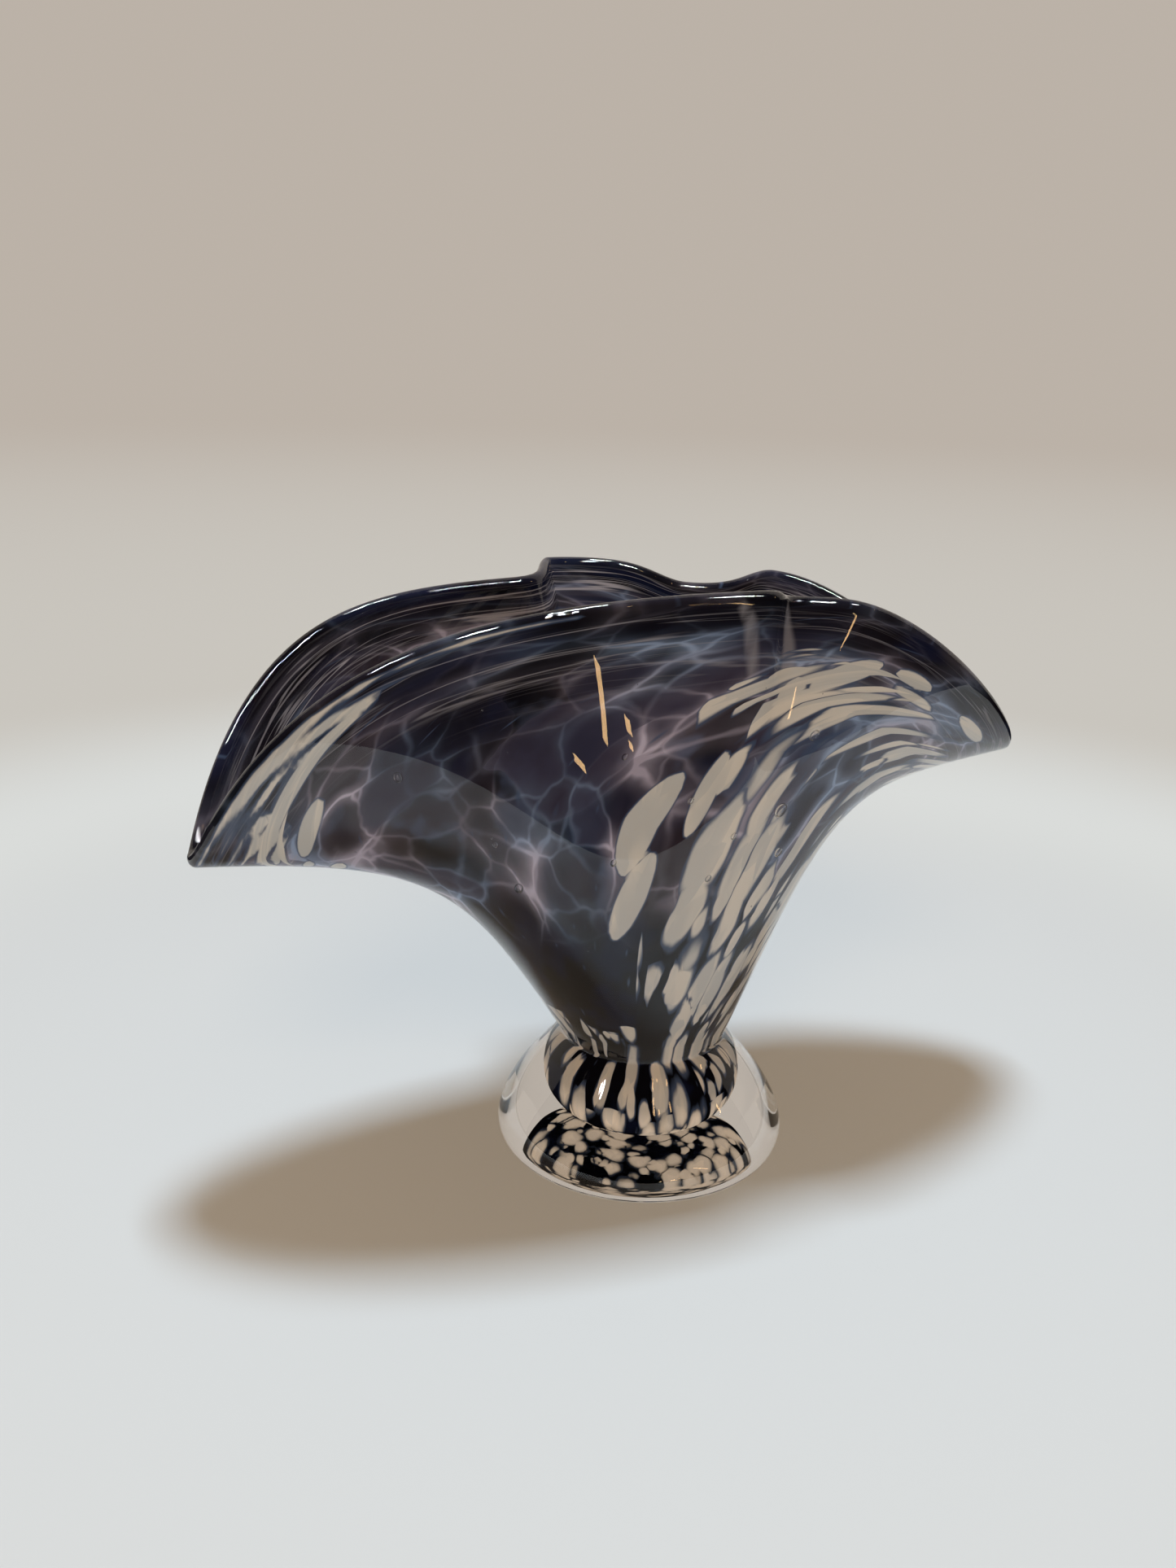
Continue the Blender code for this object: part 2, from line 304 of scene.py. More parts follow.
# A vein's line and the glow round it: how far each reaches, and its strength in between and
# added where veins meet
Vein = namedtuple("Vein", "reach plain meeting")
VEIN_LINE = Vein(0.050, 0.26, 0.70)
VEIN_GLOW = Vein(0.34, 0.10, 0.60)
VEINS_MEET = (0.50, 0.82)

# Tints of the web's cells, by the number that each cell has to itself
CELL_TINTS = (
    (0.45, 0.55, VIOLET_GLASS),
    (0.66, 0.72, BLUE_CELL),
    (0.82, 0.90, GLOWING_GLASS),
)
CELL_TINT = 0.5

# Noise drawn out along the rim: how fine it is round the vase and across the rim, where it
# starts and is full, and its strength
Threads = namedtuple("Threads", "around across seed low high strength")
THREAD_GAPS = Threads(22, 500, 2.0, 0.38, 0.56, 1.0)
THREAD_FOLDS = Threads(24, 900, 4.0, 0.50, 0.72, 0.6)
THREAD_LINES = (
    Threads(22, 800, 6.0, 0.024, 0.0, 0.95),
    Threads(32, 1500, 9.0, 0.024, 0.0, 0.55),
)
THREAD_DETAIL = 2.5
CREASE_EDGE = (-0.0012, 0.0010)
CREASE_STRENGTH = 0.4

# Three strewings of specks: how close together they lie, how large, and the share that is kept
Strewing = namedtuple("Strewing", "scale size seed thinned")
STREWINGS = (
    Strewing(235.0, 0.50, 5.0, 1.0),
    Strewing(260.0, 0.50, 8.0, 0.9),
    Strewing(430.0, 0.52, 11.0, 0.55),
)
SPECK_WOBBLE = (300.0, 0.0016)
SPECK_WAVER = 260.0
SPECK_KEPT = 0.04
SPECK_GROWTH = 0.14
SPECK_APART = 2.4
SPECK_GAP = 0.02
STREAK_SCALE = 250
STREAK_WAVER = 0.3

# A speck from its dark blue halo inwards, and how its cream varies
SPECK_HALO = (-0.12, 0.0)
SPECK_HALO_TINT = 0.8
SPECK_RIM = (-0.01, 0.11)
# How far into a speck the painted glow under the cup reaches
SPECK_PAINTED_GLOW = (0.0, 0.24)
CREAM_START = 0.35
CREAM_WAVER = 1.4
CREAM_RANGE = (0.1, 0.6)

# Floor, wall and fill light: the floor turns into the wall by its distance from the vase
FLOOR_NEAR = (0.68, 0.72, 0.735, 1)
HORIZON_TONE = (0.70, 0.715, 0.70, 1)
WALL_LOW_TONE = (0.585, 0.56, 0.515, 1)
WALL_TONE = (0.500, 0.445, 0.390, 1)
FILL_TONE = (0.37, 0.275, 0.195, 1)
FLOOR_DROP = 0.0004
FLOOR_REACH = 4.0
CLOTH_END = 0.22
HORIZON = 0.36
WALL_START = 0.56
WALL_EVEN = 2.6

# Lamps that light the vase: where each is, its size, its power and its colour
Lamp = namedtuple("Lamp", "place size power colour")
VASE_MIDDLE = (0, 0, 0.09)
SOFT_BOX = Lamp((0.0, 0.02, 1.15), (0.20, 0.16), 9.8, (0.75, 0.88, 1.0))
FRONT_FILL = Lamp((-0.45, -0.95, 1.05), (0.50, 0.40), 3.8, (1.0, 0.75, 0.52))

# Bare warm lamps that only reflections see: each one's start, its end and its width
WARM_GLOWS = (
    ((0.020, -0.334, 0.002), (-0.002, -0.264, 0.002), 0.004),
    ((0.155, -0.480, 0.085), (0.215, -0.395, 0.030), 0.005),
    ((0.030, -0.300, 0.002), (0.027, -0.285, 0.002), 0.005),
    ((0.025, -0.277, 0.002), (0.023, -0.270, 0.002), 0.004),
    ((-0.036, -0.228, 0.002), (-0.030, -0.224, 0.002), 0.005),
    ((-0.12, -1.00, 1.02), (-0.12, -1.00, 1.14), 0.03),
    ((-0.02, -1.00, 1.00), (-0.02, -1.00, 1.05), 0.03),
    ((0.22, -1.00, 0.98), (0.22, -1.00, 1.05), 0.03),
    ((0.95, -0.55, 0.55), (0.95, -0.55, 0.62), 0.03),
)
WARM_LIGHT = (1.0, 0.62, 0.28, 1)
WARM_STRENGTH = 14.0

# Ceiling lamps in threes, by how far round from the front and how far up they are, in degrees
CEILING_LAMPS = ((-75, 50), (-35, 58), (-4, 62), (45, 52), (150, 82))
CEILING_LAMP_AWAY = 1.5
CEILING_LAMP_SIZE = (0.026, 0.34)
CEILING_LAMP_GAP = 0.060
WHITE_LIGHT = (0.95, 0.98, 1.0, 1)
WHITE_STRENGTH = 130.0

# The table and the dark room round it, as seen from the camera
ROOM_DARK = (0.004, 0.004, 0.005, 1)
TABLE_LEFT = -0.36
TABLE_RIGHT = 0.27
TABLE_FRONT = -0.155
TABLE_BACK = 0.50
ROOM_REACH = 3.0
ROOM_HEIGHT = 2.4

# Camera, found from the vase's outline in the photograph
CAMERA_TURN = math.radians(-22.1)
CAMERA_SIDE = -0.0178
CAMERA_BACK = 0.385
CAMERA_HEIGHT = 0.236
CAMERA_PITCH = math.radians(18.4)
CAMERA_ROLL = math.radians(-1.58)
FOCAL_PIXELS = 1800
FRAME_PIXELS = 1927
SENSOR = 36.0


def unit(vectors):
    return vectors / np.linalg.norm(vectors, axis=-1, keepdims=True)


def smooth_step(low, high, values):
    share = np.clip((values - low) / (high - low), 0, 1)
    return share * share * (3 - 2 * share)


# The form of the vase


def bezier(points, t):
    """The cubic curve through four control points, or through four rings of them."""
    a, b, c, d = points
    return (1 - t) ** 3 * a + 3 * (1 - t) ** 2 * t * b + 3 * (1 - t) * t * t * c + t ** 3 * d


def circle(angles, radius, height):
    return np.stack([radius * np.cos(angles), radius * np.sin(angles), height + 0 * angles], -1)


def column_angles():
    """Angles round the vase, closer together where a fold needs them."""
    fine = np.linspace(0, 2 * math.pi, ANGLE_SAMPLES)
    crowding = np.ones_like(fine)
    for fold in FOLDS:
        crowding += FOLD_CROWDING * fold_share(fine, fold, FOLD_CROWDING_REACH)
    total = np.concatenate([[0.0], np.cumsum((crowding[1:] + crowding[:-1]) / 2)])
    return np.interp(np.arange(COLUMNS) / COLUMNS, total / total[-1], fine)


def fold_share(angles, fold, widen=1.0):
    """How strongly a fold acts at each angle, from 0 to 1."""
    along, across = np.cos(angles), np.sin(angles)
    offset = (MOUTH_LEFT + MOUTH_RIGHT) / 2 * along - fold.place
    width = widen * np.where(offset < 0, fold.left, fold.right)
    own_side = np.clip(fold.side * across * FOLD_FADE_AT_TIPS, 0, 1)
    return np.exp(-((offset / width) ** 2)) * own_side


def softened(across):
    """The distance from the tips, rounded off where it would make a sharp corner."""
    blunt = TIP_BLUNTNESS
    return (np.sqrt(across ** 2 + blunt ** 2) - blunt) / (math.sqrt(1 + blunt ** 2) - blunt)


def climb(angles):
    """How far the mouth has climbed from its tips, 0, to its crests, 1."""
    along, across = np.cos(angles), np.sin(angles)
    to_right = 0.5 + 0.5 * np.sin(math.pi / 2 * along)
    front, back = (
        [left + (right - left) * to_right for left, right in zip(*pair)]
        for pair in ((FRONT_LEFT_CLIMB, FRONT_RIGHT_CLIMB), (BACK_LEFT_CLIMB, BACK_RIGHT_CLIMB))
    )
    start = np.where(across < 0, front[0], back[0])
    full = np.where(across < 0, front[1], back[1])
    return 1 - np.maximum(0, 1 - softened(across) ** start) ** full


def ring(angles, reaches, depths, tips, crests, squareness, rise):
    """A closed ring, with its own size and height at the left, right, front and back."""
    along, across = np.cos(angles), np.sin(angles)
    reach = np.where(along < 0, *reaches)
    depth = np.where(across < 0, *depths)
    tip = tips[0] + (tips[1] - tips[0]) * (0.5 + 0.5 * along)
    crest = np.where(across < 0, *crests)
    power = 2 / squareness
    x = reach * np.sign(along) * np.abs(along) ** power
    y = depth * np.sign(across) * np.abs(across) ** power
    return np.stack([x, y, tip + (crest - tip) * rise], -1)


def plain_wall(angles, t):
    """The outer face of the fan without its folds, from the waist, 0, to the mouth, 1."""
    waist = circle(angles, WAIST_RADIUS, WAIST_HEIGHT)
    belly = ring(
        angles, (BELLY_LEFT, BELLY_RIGHT), (BELLY_DEPTH, BELLY_DEPTH),
        (BELLY_LEFT_HEIGHT, BELLY_RIGHT_HEIGHT), (BELLY_SIDE_HEIGHT, BELLY_SIDE_HEIGHT),
        GUIDE_SQUARENESS, softened(np.sin(angles)))
    shoulder = ring(
        angles, (SHOULDER_LEFT, SHOULDER_RIGHT), (SHOULDER_DEPTH, SHOULDER_DEPTH),
        (SHOULDER_LEFT_HEIGHT, SHOULDER_RIGHT_HEIGHT),
        (SHOULDER_SIDE_HEIGHT, SHOULDER_SIDE_HEIGHT),
        GUIDE_SQUARENESS, softened(np.sin(angles)))
    mouth = ring(
        angles, (MOUTH_LEFT, MOUTH_RIGHT), (MOUTH_FRONT, MOUTH_BACK),
        (LEFT_TIP_HEIGHT, RIGHT_TIP_HEIGHT), (FRONT_CREST_HEIGHT, BACK_CREST_HEIGHT),
        MOUTH_SQUARENESS, climb(angles))
    return bezier((waist, belly, shoulder, mouth), t[:, None, None])


def fold_shift(angles, t):
    """How far the folds move the wall."""
    shift = np.zeros((len(t), len(angles), 3))
    for fold in FOLDS:
        grown = np.clip((t - fold.smooth) / (1 - fold.smooth), 0, 1) ** 2
        share = grown[:, None] * fold_share(angles, fold)[None, :]
        shift[..., 1] += fold.side * fold.push * share
        shift[..., 2] += fold.lift * share
    return shift


def face_normals(rows):
    """Outward directions on rows of points that close round the vase."""
    around = np.roll(rows, -1, 1) - np.roll(rows, 1, 1)
    return unit(np.cross(around, np.gradient(rows, axis=0)))


def fan_walls(angles, t):
    """The outer face, the inner face and the direction between them."""
    plain = plain_wall(angles, t)
    outer = plain + fold_shift(angles, t)
    outward = unit(face_normals(outer) + face_normals(plain))
    wall = RIM_WALL + (WAIST_WALL - RIM_WALL) * (1 - t) ** 2
    return outer, outer - wall[:, None, None] * outward, outward


def foot_outline():
    """Radius and height of the foot, from the base up to just under the waist."""
    base_radius = FOOT_RADIUS - FOOT_EDGE_UNDERCUT
    outline = []
    for step in range(EDGE_STEPS):
        turn = math.pi / 2 * step / EDGE_STEPS
        outline.append((base_radius + FOOT_EDGE_UNDERCUT * math.sin(turn),
                        FOOT_EDGE_HEIGHT * (1 - math.cos(turn))))
    bell = np.array([
        (FOOT_RADIUS, FOOT_EDGE_HEIGHT),
        (FOOT_RADIUS - FOOT_HIP_INSET, FOOT_EDGE_HEIGHT + FOOT_HIP_RISE),
        (WAIST_RADIUS + WAIST_FLARE, WAIST_HEIGHT - WAIST_DROP),
        (WAIST_RADIUS, WAIST_HEIGHT),
    ])
    outline += [tuple(bezier(bell, step / BELL_STEPS)) for step in range(BELL_STEPS)]
    return outline


def cup_outline():
    """Radius and height of the hollow below the waist, from its neck down to its floor."""
    neck_radius = WAIST_RADIUS - WAIST_WALL
    half_drop = (CUP_NECK_HEIGHT - CUP_WIDEST_HEIGHT) / 2
    neck = np.array([
        (neck_radius, CUP_NECK_HEIGHT),
        (neck_radius, CUP_NECK_HEIGHT - half_drop),
        (CUP_RADIUS, CUP_WIDEST_HEIGHT + half_drop),
        (CUP_RADIUS, CUP_WIDEST_HEIGHT),
    ])
    neck_steps = CUP_STEPS // 2
    outline = [tuple(bezier(neck, step / neck_steps)) for step in range(neck_steps)]
    bowl_steps = CUP_STEPS - neck_steps
    bowl_depth = CUP_WIDEST_HEIGHT - CUP_FLOOR_HEIGHT
    power = 2 / CUP_SQUARENESS
    for step in range(bowl_steps):
        turn = math.pi / 2 * step / bowl_steps
        outline.append((CUP_RADIUS * math.cos(turn) ** power,
                        CUP_WIDEST_HEIGHT - bowl_depth * math.sin(turn) ** power))
    return outline


def offset_outline(outline, distance):
    """The foot's outline or the cup's, moved into the glass."""
    points = np.array(outline)
    run = np.gradient(points, axis=0)
    outward = unit(np.stack([-run[:, 1], run[:, 0]], -1))
    return points + distance * outward


def rim_rows(outer, inner, outward, up_the_wall, steps):
    """The half-round rim, between the outer face and the inner face."""
    middle = (outer + inner) / 2
    radius = np.linalg.norm(outer - inner, axis=-1, keepdims=True) / 2
    across_wall = unit(up_the_wall - outward * np.sum(up_the_wall * outward, -1, keepdims=True))
    rows = []
    for step in range(1, steps):
        turn = math.pi * step / steps
        rows.append(middle + radius * (math.cos(turn) * outward + math.sin(turn) * across_wall))
    return rows


def casing_rows(angles):
    """Rings of points over the clear skin, from under the foot, over the rim, to the cup."""

    def skin(steps):
        outer, inner, outward = fan_walls(angles, np.linspace(0, 1, steps + 1))
        return outer - SKIN_INSET * outward, inner + SKIN_INSET * outward, outward

    rows = [circle(angles, *point) for point in offset_outline(foot_outline(), SKIN_INSET)]
    outer, inner, outward = skin(WALL_STEPS)
    rows += list(outer)
    rows += rim_rows(outer[-1], inner[-1], outward[-1], unit(outer[-1] - outer[-2]), RIM_STEPS)
    rows += list(skin(LINING_STEPS)[1][::-1])
    rows += [circle(angles, *point) for point in offset_outline(cup_outline(), SKIN_INSET)]
    return rows


def gather_height(t):
    """Height on the gather for each share of the wall, 0 at the waist."""
    fine = np.linspace(0, 1, GATHER_SAMPLES)
    rates = np.interp(fine, GATHER_PLACES, GATHER_RATES) * WALL_LENGTH
    total = np.concatenate([[0.0], np.cumsum((rates[1:] + rates[:-1]) / 2) * (fine[1] - fine[0])])
    return np.interp(t, fine, total)


def layer_rows(angles):
    """The coloured layer's rings, and each point's wall share and places on the gather."""
    t = np.linspace(0, 1, WALL_STEPS + 1)
    outer, inner, outward = fan_walls(angles, t)
    thickness = LAYER + (LIP_LAYER - LAYER) * smooth_step(LIP_START, 1, t)[:, None, None]
    faces = [inner + outward * (LINING + thickness), inner + outward * LINING]
    up = unit(outer[-1] - outer[-2])
    cup = cup_outline()
    points, shares, heights, radii = [], [], [], []

    def add(row, share, height, spread=1.0):
        points.append(row)
        shares.append(np.full(len(angles), share))
        heights.append(np.full(len(angles), height))
        radii.append(np.full(len(angles), spread * np.interp(share, GATHER_PLACES, GATHER_RADII)))

    def add_cup(distance, upwards):
        outline = offset_outline(cup, distance)
        lengths = np.linalg.norm(np.diff(outline, axis=0), axis=1)
        on_floor = np.array(cup)[1:, 1] < CUP_FLOOR_HEIGHT + CUP_ROUNDING
        rates = np.where(on_floor, CUP_FLOOR_RATE, CUP_RATE)
        run = np.concatenate([[0], np.cumsum(lengths * rates)])
        order = range(len(outline) - 1, -1, -1) if upwards else range(len(outline))
        for index in order:
            radius, height = outline[index]
            past_bowl = min(1.0, radius / CUP_RADIUS) if index > len(outline) // 2 else 1.0
            add(circle(angles, radius, height), CUP_SHARE, -run[index] - CUP_START, past_bowl)

    add_cup(LINING + LAYER, True)
    for row, share in zip(faces[0], t):
        add(row, share, gather_height(share))
    lip = up * LAYER_LIP
    for row in rim_rows(faces[0][-1] + lip, faces[1][-1] + lip, outward[-1], up, LAYER_RIM_STEPS):
        add(row, 1.0, gather_height(1.0))
    for row, share in zip(faces[1][::-1], t[::-1]):
        add(row, share, gather_height(share))
    add_cup(LINING, False)
    shares, heights, radii = np.array(shares), np.array(heights), np.array(radii)
    places = []
    for turns in (GATHER_TURNS, WEB_TURNS):
        turned = angles[None, :] - np.radians(np.interp(shares, GATHER_PLACES, turns))
        places.append(np.stack([radii * np.cos(turned), radii * np.sin(turned), heights], -1))
    return points, shares, places


def streak_line(wall, degrees, places):
    """Points along a speck: the places joined up on the layer's outer face."""
    count = STREAK_STEPS * (len(places) - 1) + 1
    way = np.linspace(0, len(places) - 1, count)
    angles, shares = (np.interp(way, range(len(places)), side) for side in zip(*places))
    rows = np.clip(shares, 0, 1) * WALL_STEPS
    line = []
    for angle, row in zip(angles, rows):
        low = min(int(row), WALL_STEPS - 1)
        ring = wall[low] + (row - low) * (wall[low + 1] - wall[low])
        line.append([np.interp(angle, degrees, ring[:, axis], period=360) for axis in range(3)])
    return np.array(line)


def streak_depth(angles, rings, streaks):
    """How far inside the nearest of some specks each point of the layer lies."""
    rings = np.array(rings)
    wall = rings[CUP_STEPS:CUP_STEPS + WALL_STEPS + 1]
    depth = np.full(rings.shape[:2], FAR_OUTSIDE)
    for streak in streaks:
        line = streak_line(wall, np.degrees(angles), streak.places)
        place = np.linspace(-1, 1, len(line))
        for start, end, before, after in zip(line[:-1], line[1:], place[:-1], place[1:]):
            way = end - start
            along = np.clip((rings - start) @ way / (way @ way), 0, 1)
            away = np.linalg.norm(rings - start - along[..., None] * way, axis=-1)
            half_width = streak.width / 2 * np.sqrt(
                1 - STREAK_TAPER * (before + along * (after - before)) ** 2)
            depth = np.maximum(depth, half_width - away)
    return depth


def bubble_places():
    """A point for each bubble, with its radius and the direction that the glass ran there."""
    chance = np.random.default_rng(BUBBLE_SEED)
    bubbles = list(LARGE_BUBBLES)
    small, large = SMALL_BUBBLE_RADII
    for _ in range(SMALL_BUBBLES):
        radius = small + (large - small) * chance.random() ** 2
        angle = chance.uniform(-180, 180)
        bubbles.append(Bubble(angle, chance.uniform(*SMALL_BUBBLE_SHARES), radius))
    points, radii, ways = [], [], []
    near = np.array([-BUBBLE_NEAR, 0, BUBBLE_NEAR])
    for bubble in bubbles:
        outer, inner, outward = fan_walls(math.radians(bubble.angle) + near, bubble.share + near)
        cover = np.linalg.norm(outer[1, 1] - inner[1, 1]) - LINING - LAYER
        points.append(outer[1, 1] - outward[1, 1] * cover * BUBBLE_DEPTH)
        radii.append(min(bubble.radius, BUBBLE_LIMIT * cover))
        ways.append(unit(outer[2, 2] - outer[0, 0]))
    return np.array(points), np.array(radii), np.array(ways)


def lofted_mesh(name, rows, first_pole, last_pole):
    """A closed skin through rings of points, with a pole at each end."""
    rows = np.array(rows)
    count, columns = rows.shape[:2]
    numbers = np.arange(count * columns).reshape(count, columns)
    lower, upper = numbers[:-1], numbers[1:]
    quads = np.stack([lower, np.roll(lower, -1, 1), np.roll(upper, -1, 1), upper], -1)
    first, last = count * columns, count * columns + 1
    start, end = numbers[0], numbers[-1]
    first_fan = np.stack([np.full(columns, first), np.roll(start, -1), start], -1)
    last_fan = np.stack([np.full(columns, last), end, np.roll(end, -1)], -1)
    points = np.concatenate([rows.reshape(-1, 3), [first_pole, last_pole]])
    faces = quads.reshape(-1, 4).tolist() + first_fan.tolist() + last_fan.tolist()
    mesh = bpy.data.meshes.new(name)
    mesh.from_pydata(points.tolist(), [], faces)
    mesh.shade_smooth()
    return mesh


def add_object(name, mesh, material):
    mesh.materials.append(material)
    piece = bpy.data.objects.new(name, mesh)
    bpy.context.scene.collection.objects.link(piece)
    return piece


def add_node(tree, kind, settings=None, inputs=None):
    """Adds a node with its settings, and fills or links its sockets."""
    node = tree.nodes.new(kind)
    for name, value in (settings or {}).items():
        setattr(node, name, value)
    for name, value in (inputs or {}).items():
        if isinstance(value, Number):
            value = value.socket
        if isinstance(value, bpy.types.NodeSocket):
            tree.links.new(value, node.inputs[name])
        else:
            node.inputs[name].default_value = value
    return node


def bubble_maker():
    """Puts a drawn-out sphere on each point, and returns the tree and its inputs by name."""
    tree = bpy.data.node_groups.new("bubble_maker", "GeometryNodeTree")
    inputs = {}
    for name, kind in (("Places", "Geometry"), ("Stretch", "Float"), ("Roundness", "Int"),
                       ("Material", "Material")):
        inputs[name] = tree.interface.new_socket(
            name, in_out="INPUT", socket_type="NodeSocket" + kind).identifier
    tree.interface.new_socket("Bubbles", in_out="OUTPUT", socket_type="NodeSocketGeometry")
    given = add_node(tree, "NodeGroupInput").outputs
    radius = add_node(
        tree, "GeometryNodeInputNamedAttribute", {"data_type": "FLOAT"}, {"Name": "radius"})
    way = add_node(
        tree, "GeometryNodeInputNamedAttribute", {"data_type": "FLOAT_VECTOR"}, {"Name": "way"})
    long_radius = add_node(
        tree, "ShaderNodeMath", {"operation": "MULTIPLY"}, {0: radius.outputs[0], 1: given["Stretch"]})
    size = add_node(tree, "ShaderNodeCombineXYZ", None, {
        "X": radius.outputs[0], "Y": radius.outputs[0], "Z": long_radius.outputs[0]})
    turn = add_node(
        tree, "FunctionNodeAlignRotationToVector", {"axis": "Z"}, {"Vector": way.outputs[0]})
    ball = add_node(tree, "GeometryNodeMeshIcoSphere", None, {
        "Radius": 1.0, "Subdivisions": given["Roundness"]})
    smooth_ball = add_node(
        tree, "GeometryNodeSetShadeSmooth", None, {"Geometry": ball.outputs["Mesh"]})
    placed = add_node(tree, "GeometryNodeInstanceOnPoints", None, {
        "Points": given["Places"], "Instance": smooth_ball.outputs[0],
        "Rotation": turn.outputs[0], "Scale": size.outputs[0]})
    real = add_node(tree, "GeometryNodeRealizeInstances", None, {"Geometry": placed.outputs[0]})
    painted = add_node(tree, "GeometryNodeSetMaterial", None, {
        "Geometry": real.outputs[0], "Material": given["Material"]})
    add_node(tree, "NodeGroupOutput", None, {"Bubbles": painted.outputs[0]})
    return tree, inputs


def air_bubbles():
    """Seed bubbles that were trapped in the clear glass."""
    points, radii, ways = bubble_places()
    places = bpy.data.meshes.new("bubble_places")
    places.from_pydata(points.tolist(), [], [])
    for name, kind, field, values in (("radius", "FLOAT", "value", radii),
                                      ("way", "FLOAT_VECTOR", "vector", ways)):
        places.attributes.new(name, kind, "POINT").data.foreach_set(
            field, values.astype(np.float32).ravel())
    bubbles = bpy.data.objects.new("air_bubbles", places)
    bpy.context.scene.collection.objects.link(bubbles)
    tree, inputs = bubble_maker()
    modifier = bubbles.modifiers.new("bubble_maker", "NODES")
    modifier.node_group = tree
    modifier[inputs["Stretch"]] = BUBBLE_STRETCH
    modifier[inputs["Roundness"]] = BUBBLE_ROUNDNESS
    modifier[inputs["Material"]] = trapped_air()
    view = bpy.context.evaluated_depsgraph_get()
    mesh = bpy.data.meshes.new_from_object(bubbles.evaluated_get(view))
    bubbles.modifiers.remove(modifier)
    bubbles.data = mesh
    return bubbles


# Materials


class Number:
    """A number that varies over a surface. Arithmetic on it adds Math nodes."""

    def __init__(self, finish, socket):
        self.finish = finish
        self.socket = socket

    def maths(self, operation, *others):
        inputs = dict(enumerate((self, *others)))
        node = self.finish.node("ShaderNodeMath", {"operation": operation}, inputs)
        return Number(self.finish, node.outputs[0])

    def __add__(self, other):
        return self.maths("ADD", other)

    def __radd__(self, other):
        return self.maths("ADD", other)

    def __sub__(self, other):
        return self.maths("SUBTRACT", other)

    def __rsub__(self, other):
        return Number(self.finish, self.finish.constant(other)).maths("SUBTRACT", self)

    def __mul__(self, other):
        return self.maths("MULTIPLY", other)

    def __rmul__(self, other):
        return self.maths("MULTIPLY", other)


class Finish:
    """A material, or the world's light, built from nodes."""

    def __init__(self, owner):
        self.owner = owner
        owner.use_nodes = True
        self.nodes = owner.node_tree.nodes
        self.nodes.clear()

    def node(self, kind, settings=None, inputs=None):
        return add_node(self.owner.node_tree, kind, settings, inputs)

    def constant(self, value):
        node = self.nodes.new("ShaderNodeValue")
        node.outputs[0].default_value = value
        return node.outputs[0]

    def number(self, socket):
        return Number(self, socket)

    def step(self, value, low, high):
        """Runs smoothly from 0 to 1 as the value goes from low to high."""
        node = self.node(
            "ShaderNodeMapRange", {"interpolation_type": "SMOOTHSTEP"},
            {"Value": value, "From Min": low, "From Max": high})
        return Number(self, node.outputs[0])

    def mix(self, share, first, second):
        node = self.node(
            "ShaderNodeMix", {"data_type": "RGBA"}, {0: share, 6: first, 7: second})
        return node.outputs[2]

    def scaled(self, vector, scale):
        node = self.node(
            "ShaderNodeVectorMath", {"operation": "MULTIPLY"}, {0: vector, 1: scale})
        return node.outputs[0]

    def added(self, vector, other):
        node = self.node("ShaderNodeVectorMath", {"operation": "ADD"}, {0: vector, 1: other})
        return node.outputs[0]

    def varying(self, name):
        """A number that the mesh holds for each of its points."""
        node = self.node("ShaderNodeAttribute", {"attribute_name": name})
        return Number(self, node.outputs["Fac"])

    def varying_place(self, name):
        """A place that the mesh holds for each of its points."""
        return self.node("ShaderNodeAttribute", {"attribute_name": name}).outputs["Vector"]

    def noise(self, vector, scale, detail=2.0, seed=0.0):
        return self.node("ShaderNodeTexNoise", None, {
            "Vector": self.added(vector, (seed, seed, 0)), "Scale": scale, "Detail": detail})

    def patches(self, place, given):
        """Soft patches, from 0 outside them to 1 inside."""
        noise = self.noise(place, given.scale, given.detail, given.seed)
        return self.step(noise.outputs["Fac"], given.low, given.high)

    def wobble(self, place, scale, amount, seed):
        """The place, pushed about a little."""
        noise = self.noise(place, scale, seed=seed)
        shift = self.added(noise.outputs["Color"], (-0.5, -0.5, -0.5))
        return self.added(place, self.scaled(shift, (amount, amount, amount)))

    def cells(self, place, scale, feature="F1"):
        return self.node(
            "ShaderNodeTexVoronoi", {"voronoi_dimensions": "3D", "feature": feature},
            {"Vector": place, "Scale": scale})

    def edge_distance(self, place, scale):
        """How far a place lies from the edge of its cell."""
        return self.number(self.cells(place, scale, "DISTANCE_TO_EDGE").outputs["Distance"])

    def own_number(self, cell):
        """A number that each cell has to itself."""
        parts = self.node("ShaderNodeSeparateColor", None, {"Color": cell.outputs["Color"]})
        return self.number(parts.outputs[0])

    def output(self, surface, kind="ShaderNodeOutputMaterial"):
        self.node(kind, None, {"Surface": surface})
        return self.owner


def clear_casing():
    """Clear glass. Lamplight and soft light pass straight through it to the layer inside."""
    finish = Finish(bpy.data.materials.new("clear_casing"))
    glass = finish.node("ShaderNodeBsdfPrincipled", None, {
        "Base Color": CLEAR_GLASS,
        "Roughness": 0.0,
        "IOR": GLASS_IOR,
        "Transmission Weight": 1.0,
    })
    gap = finish.node("ShaderNodeBsdfTransparent")
    path = finish.node("ShaderNodeLightPath")
    for_lamps = finish.node("ShaderNodeMixShader", None, {
        0: path.outputs["Is Shadow Ray"], 1: glass.outputs[0], 2: gap.outputs[0]})
    for_glow = finish.node("ShaderNodeMixShader", None, {
        0: path.outputs["Is Diffuse Ray"], 1: for_lamps.outputs[0], 2: gap.outputs[0]})
    return finish.output(for_glow.outputs[0])


def trapped_air():
    """Air inside glass: it bends light the other way."""
    finish = Finish(bpy.data.materials.new("trapped_air"))
    air = finish.node("ShaderNodeBsdfGlass", None, {"Roughness": 0.0, "IOR": 1 / GLASS_IOR})
    return finish.output(air.outputs[0])


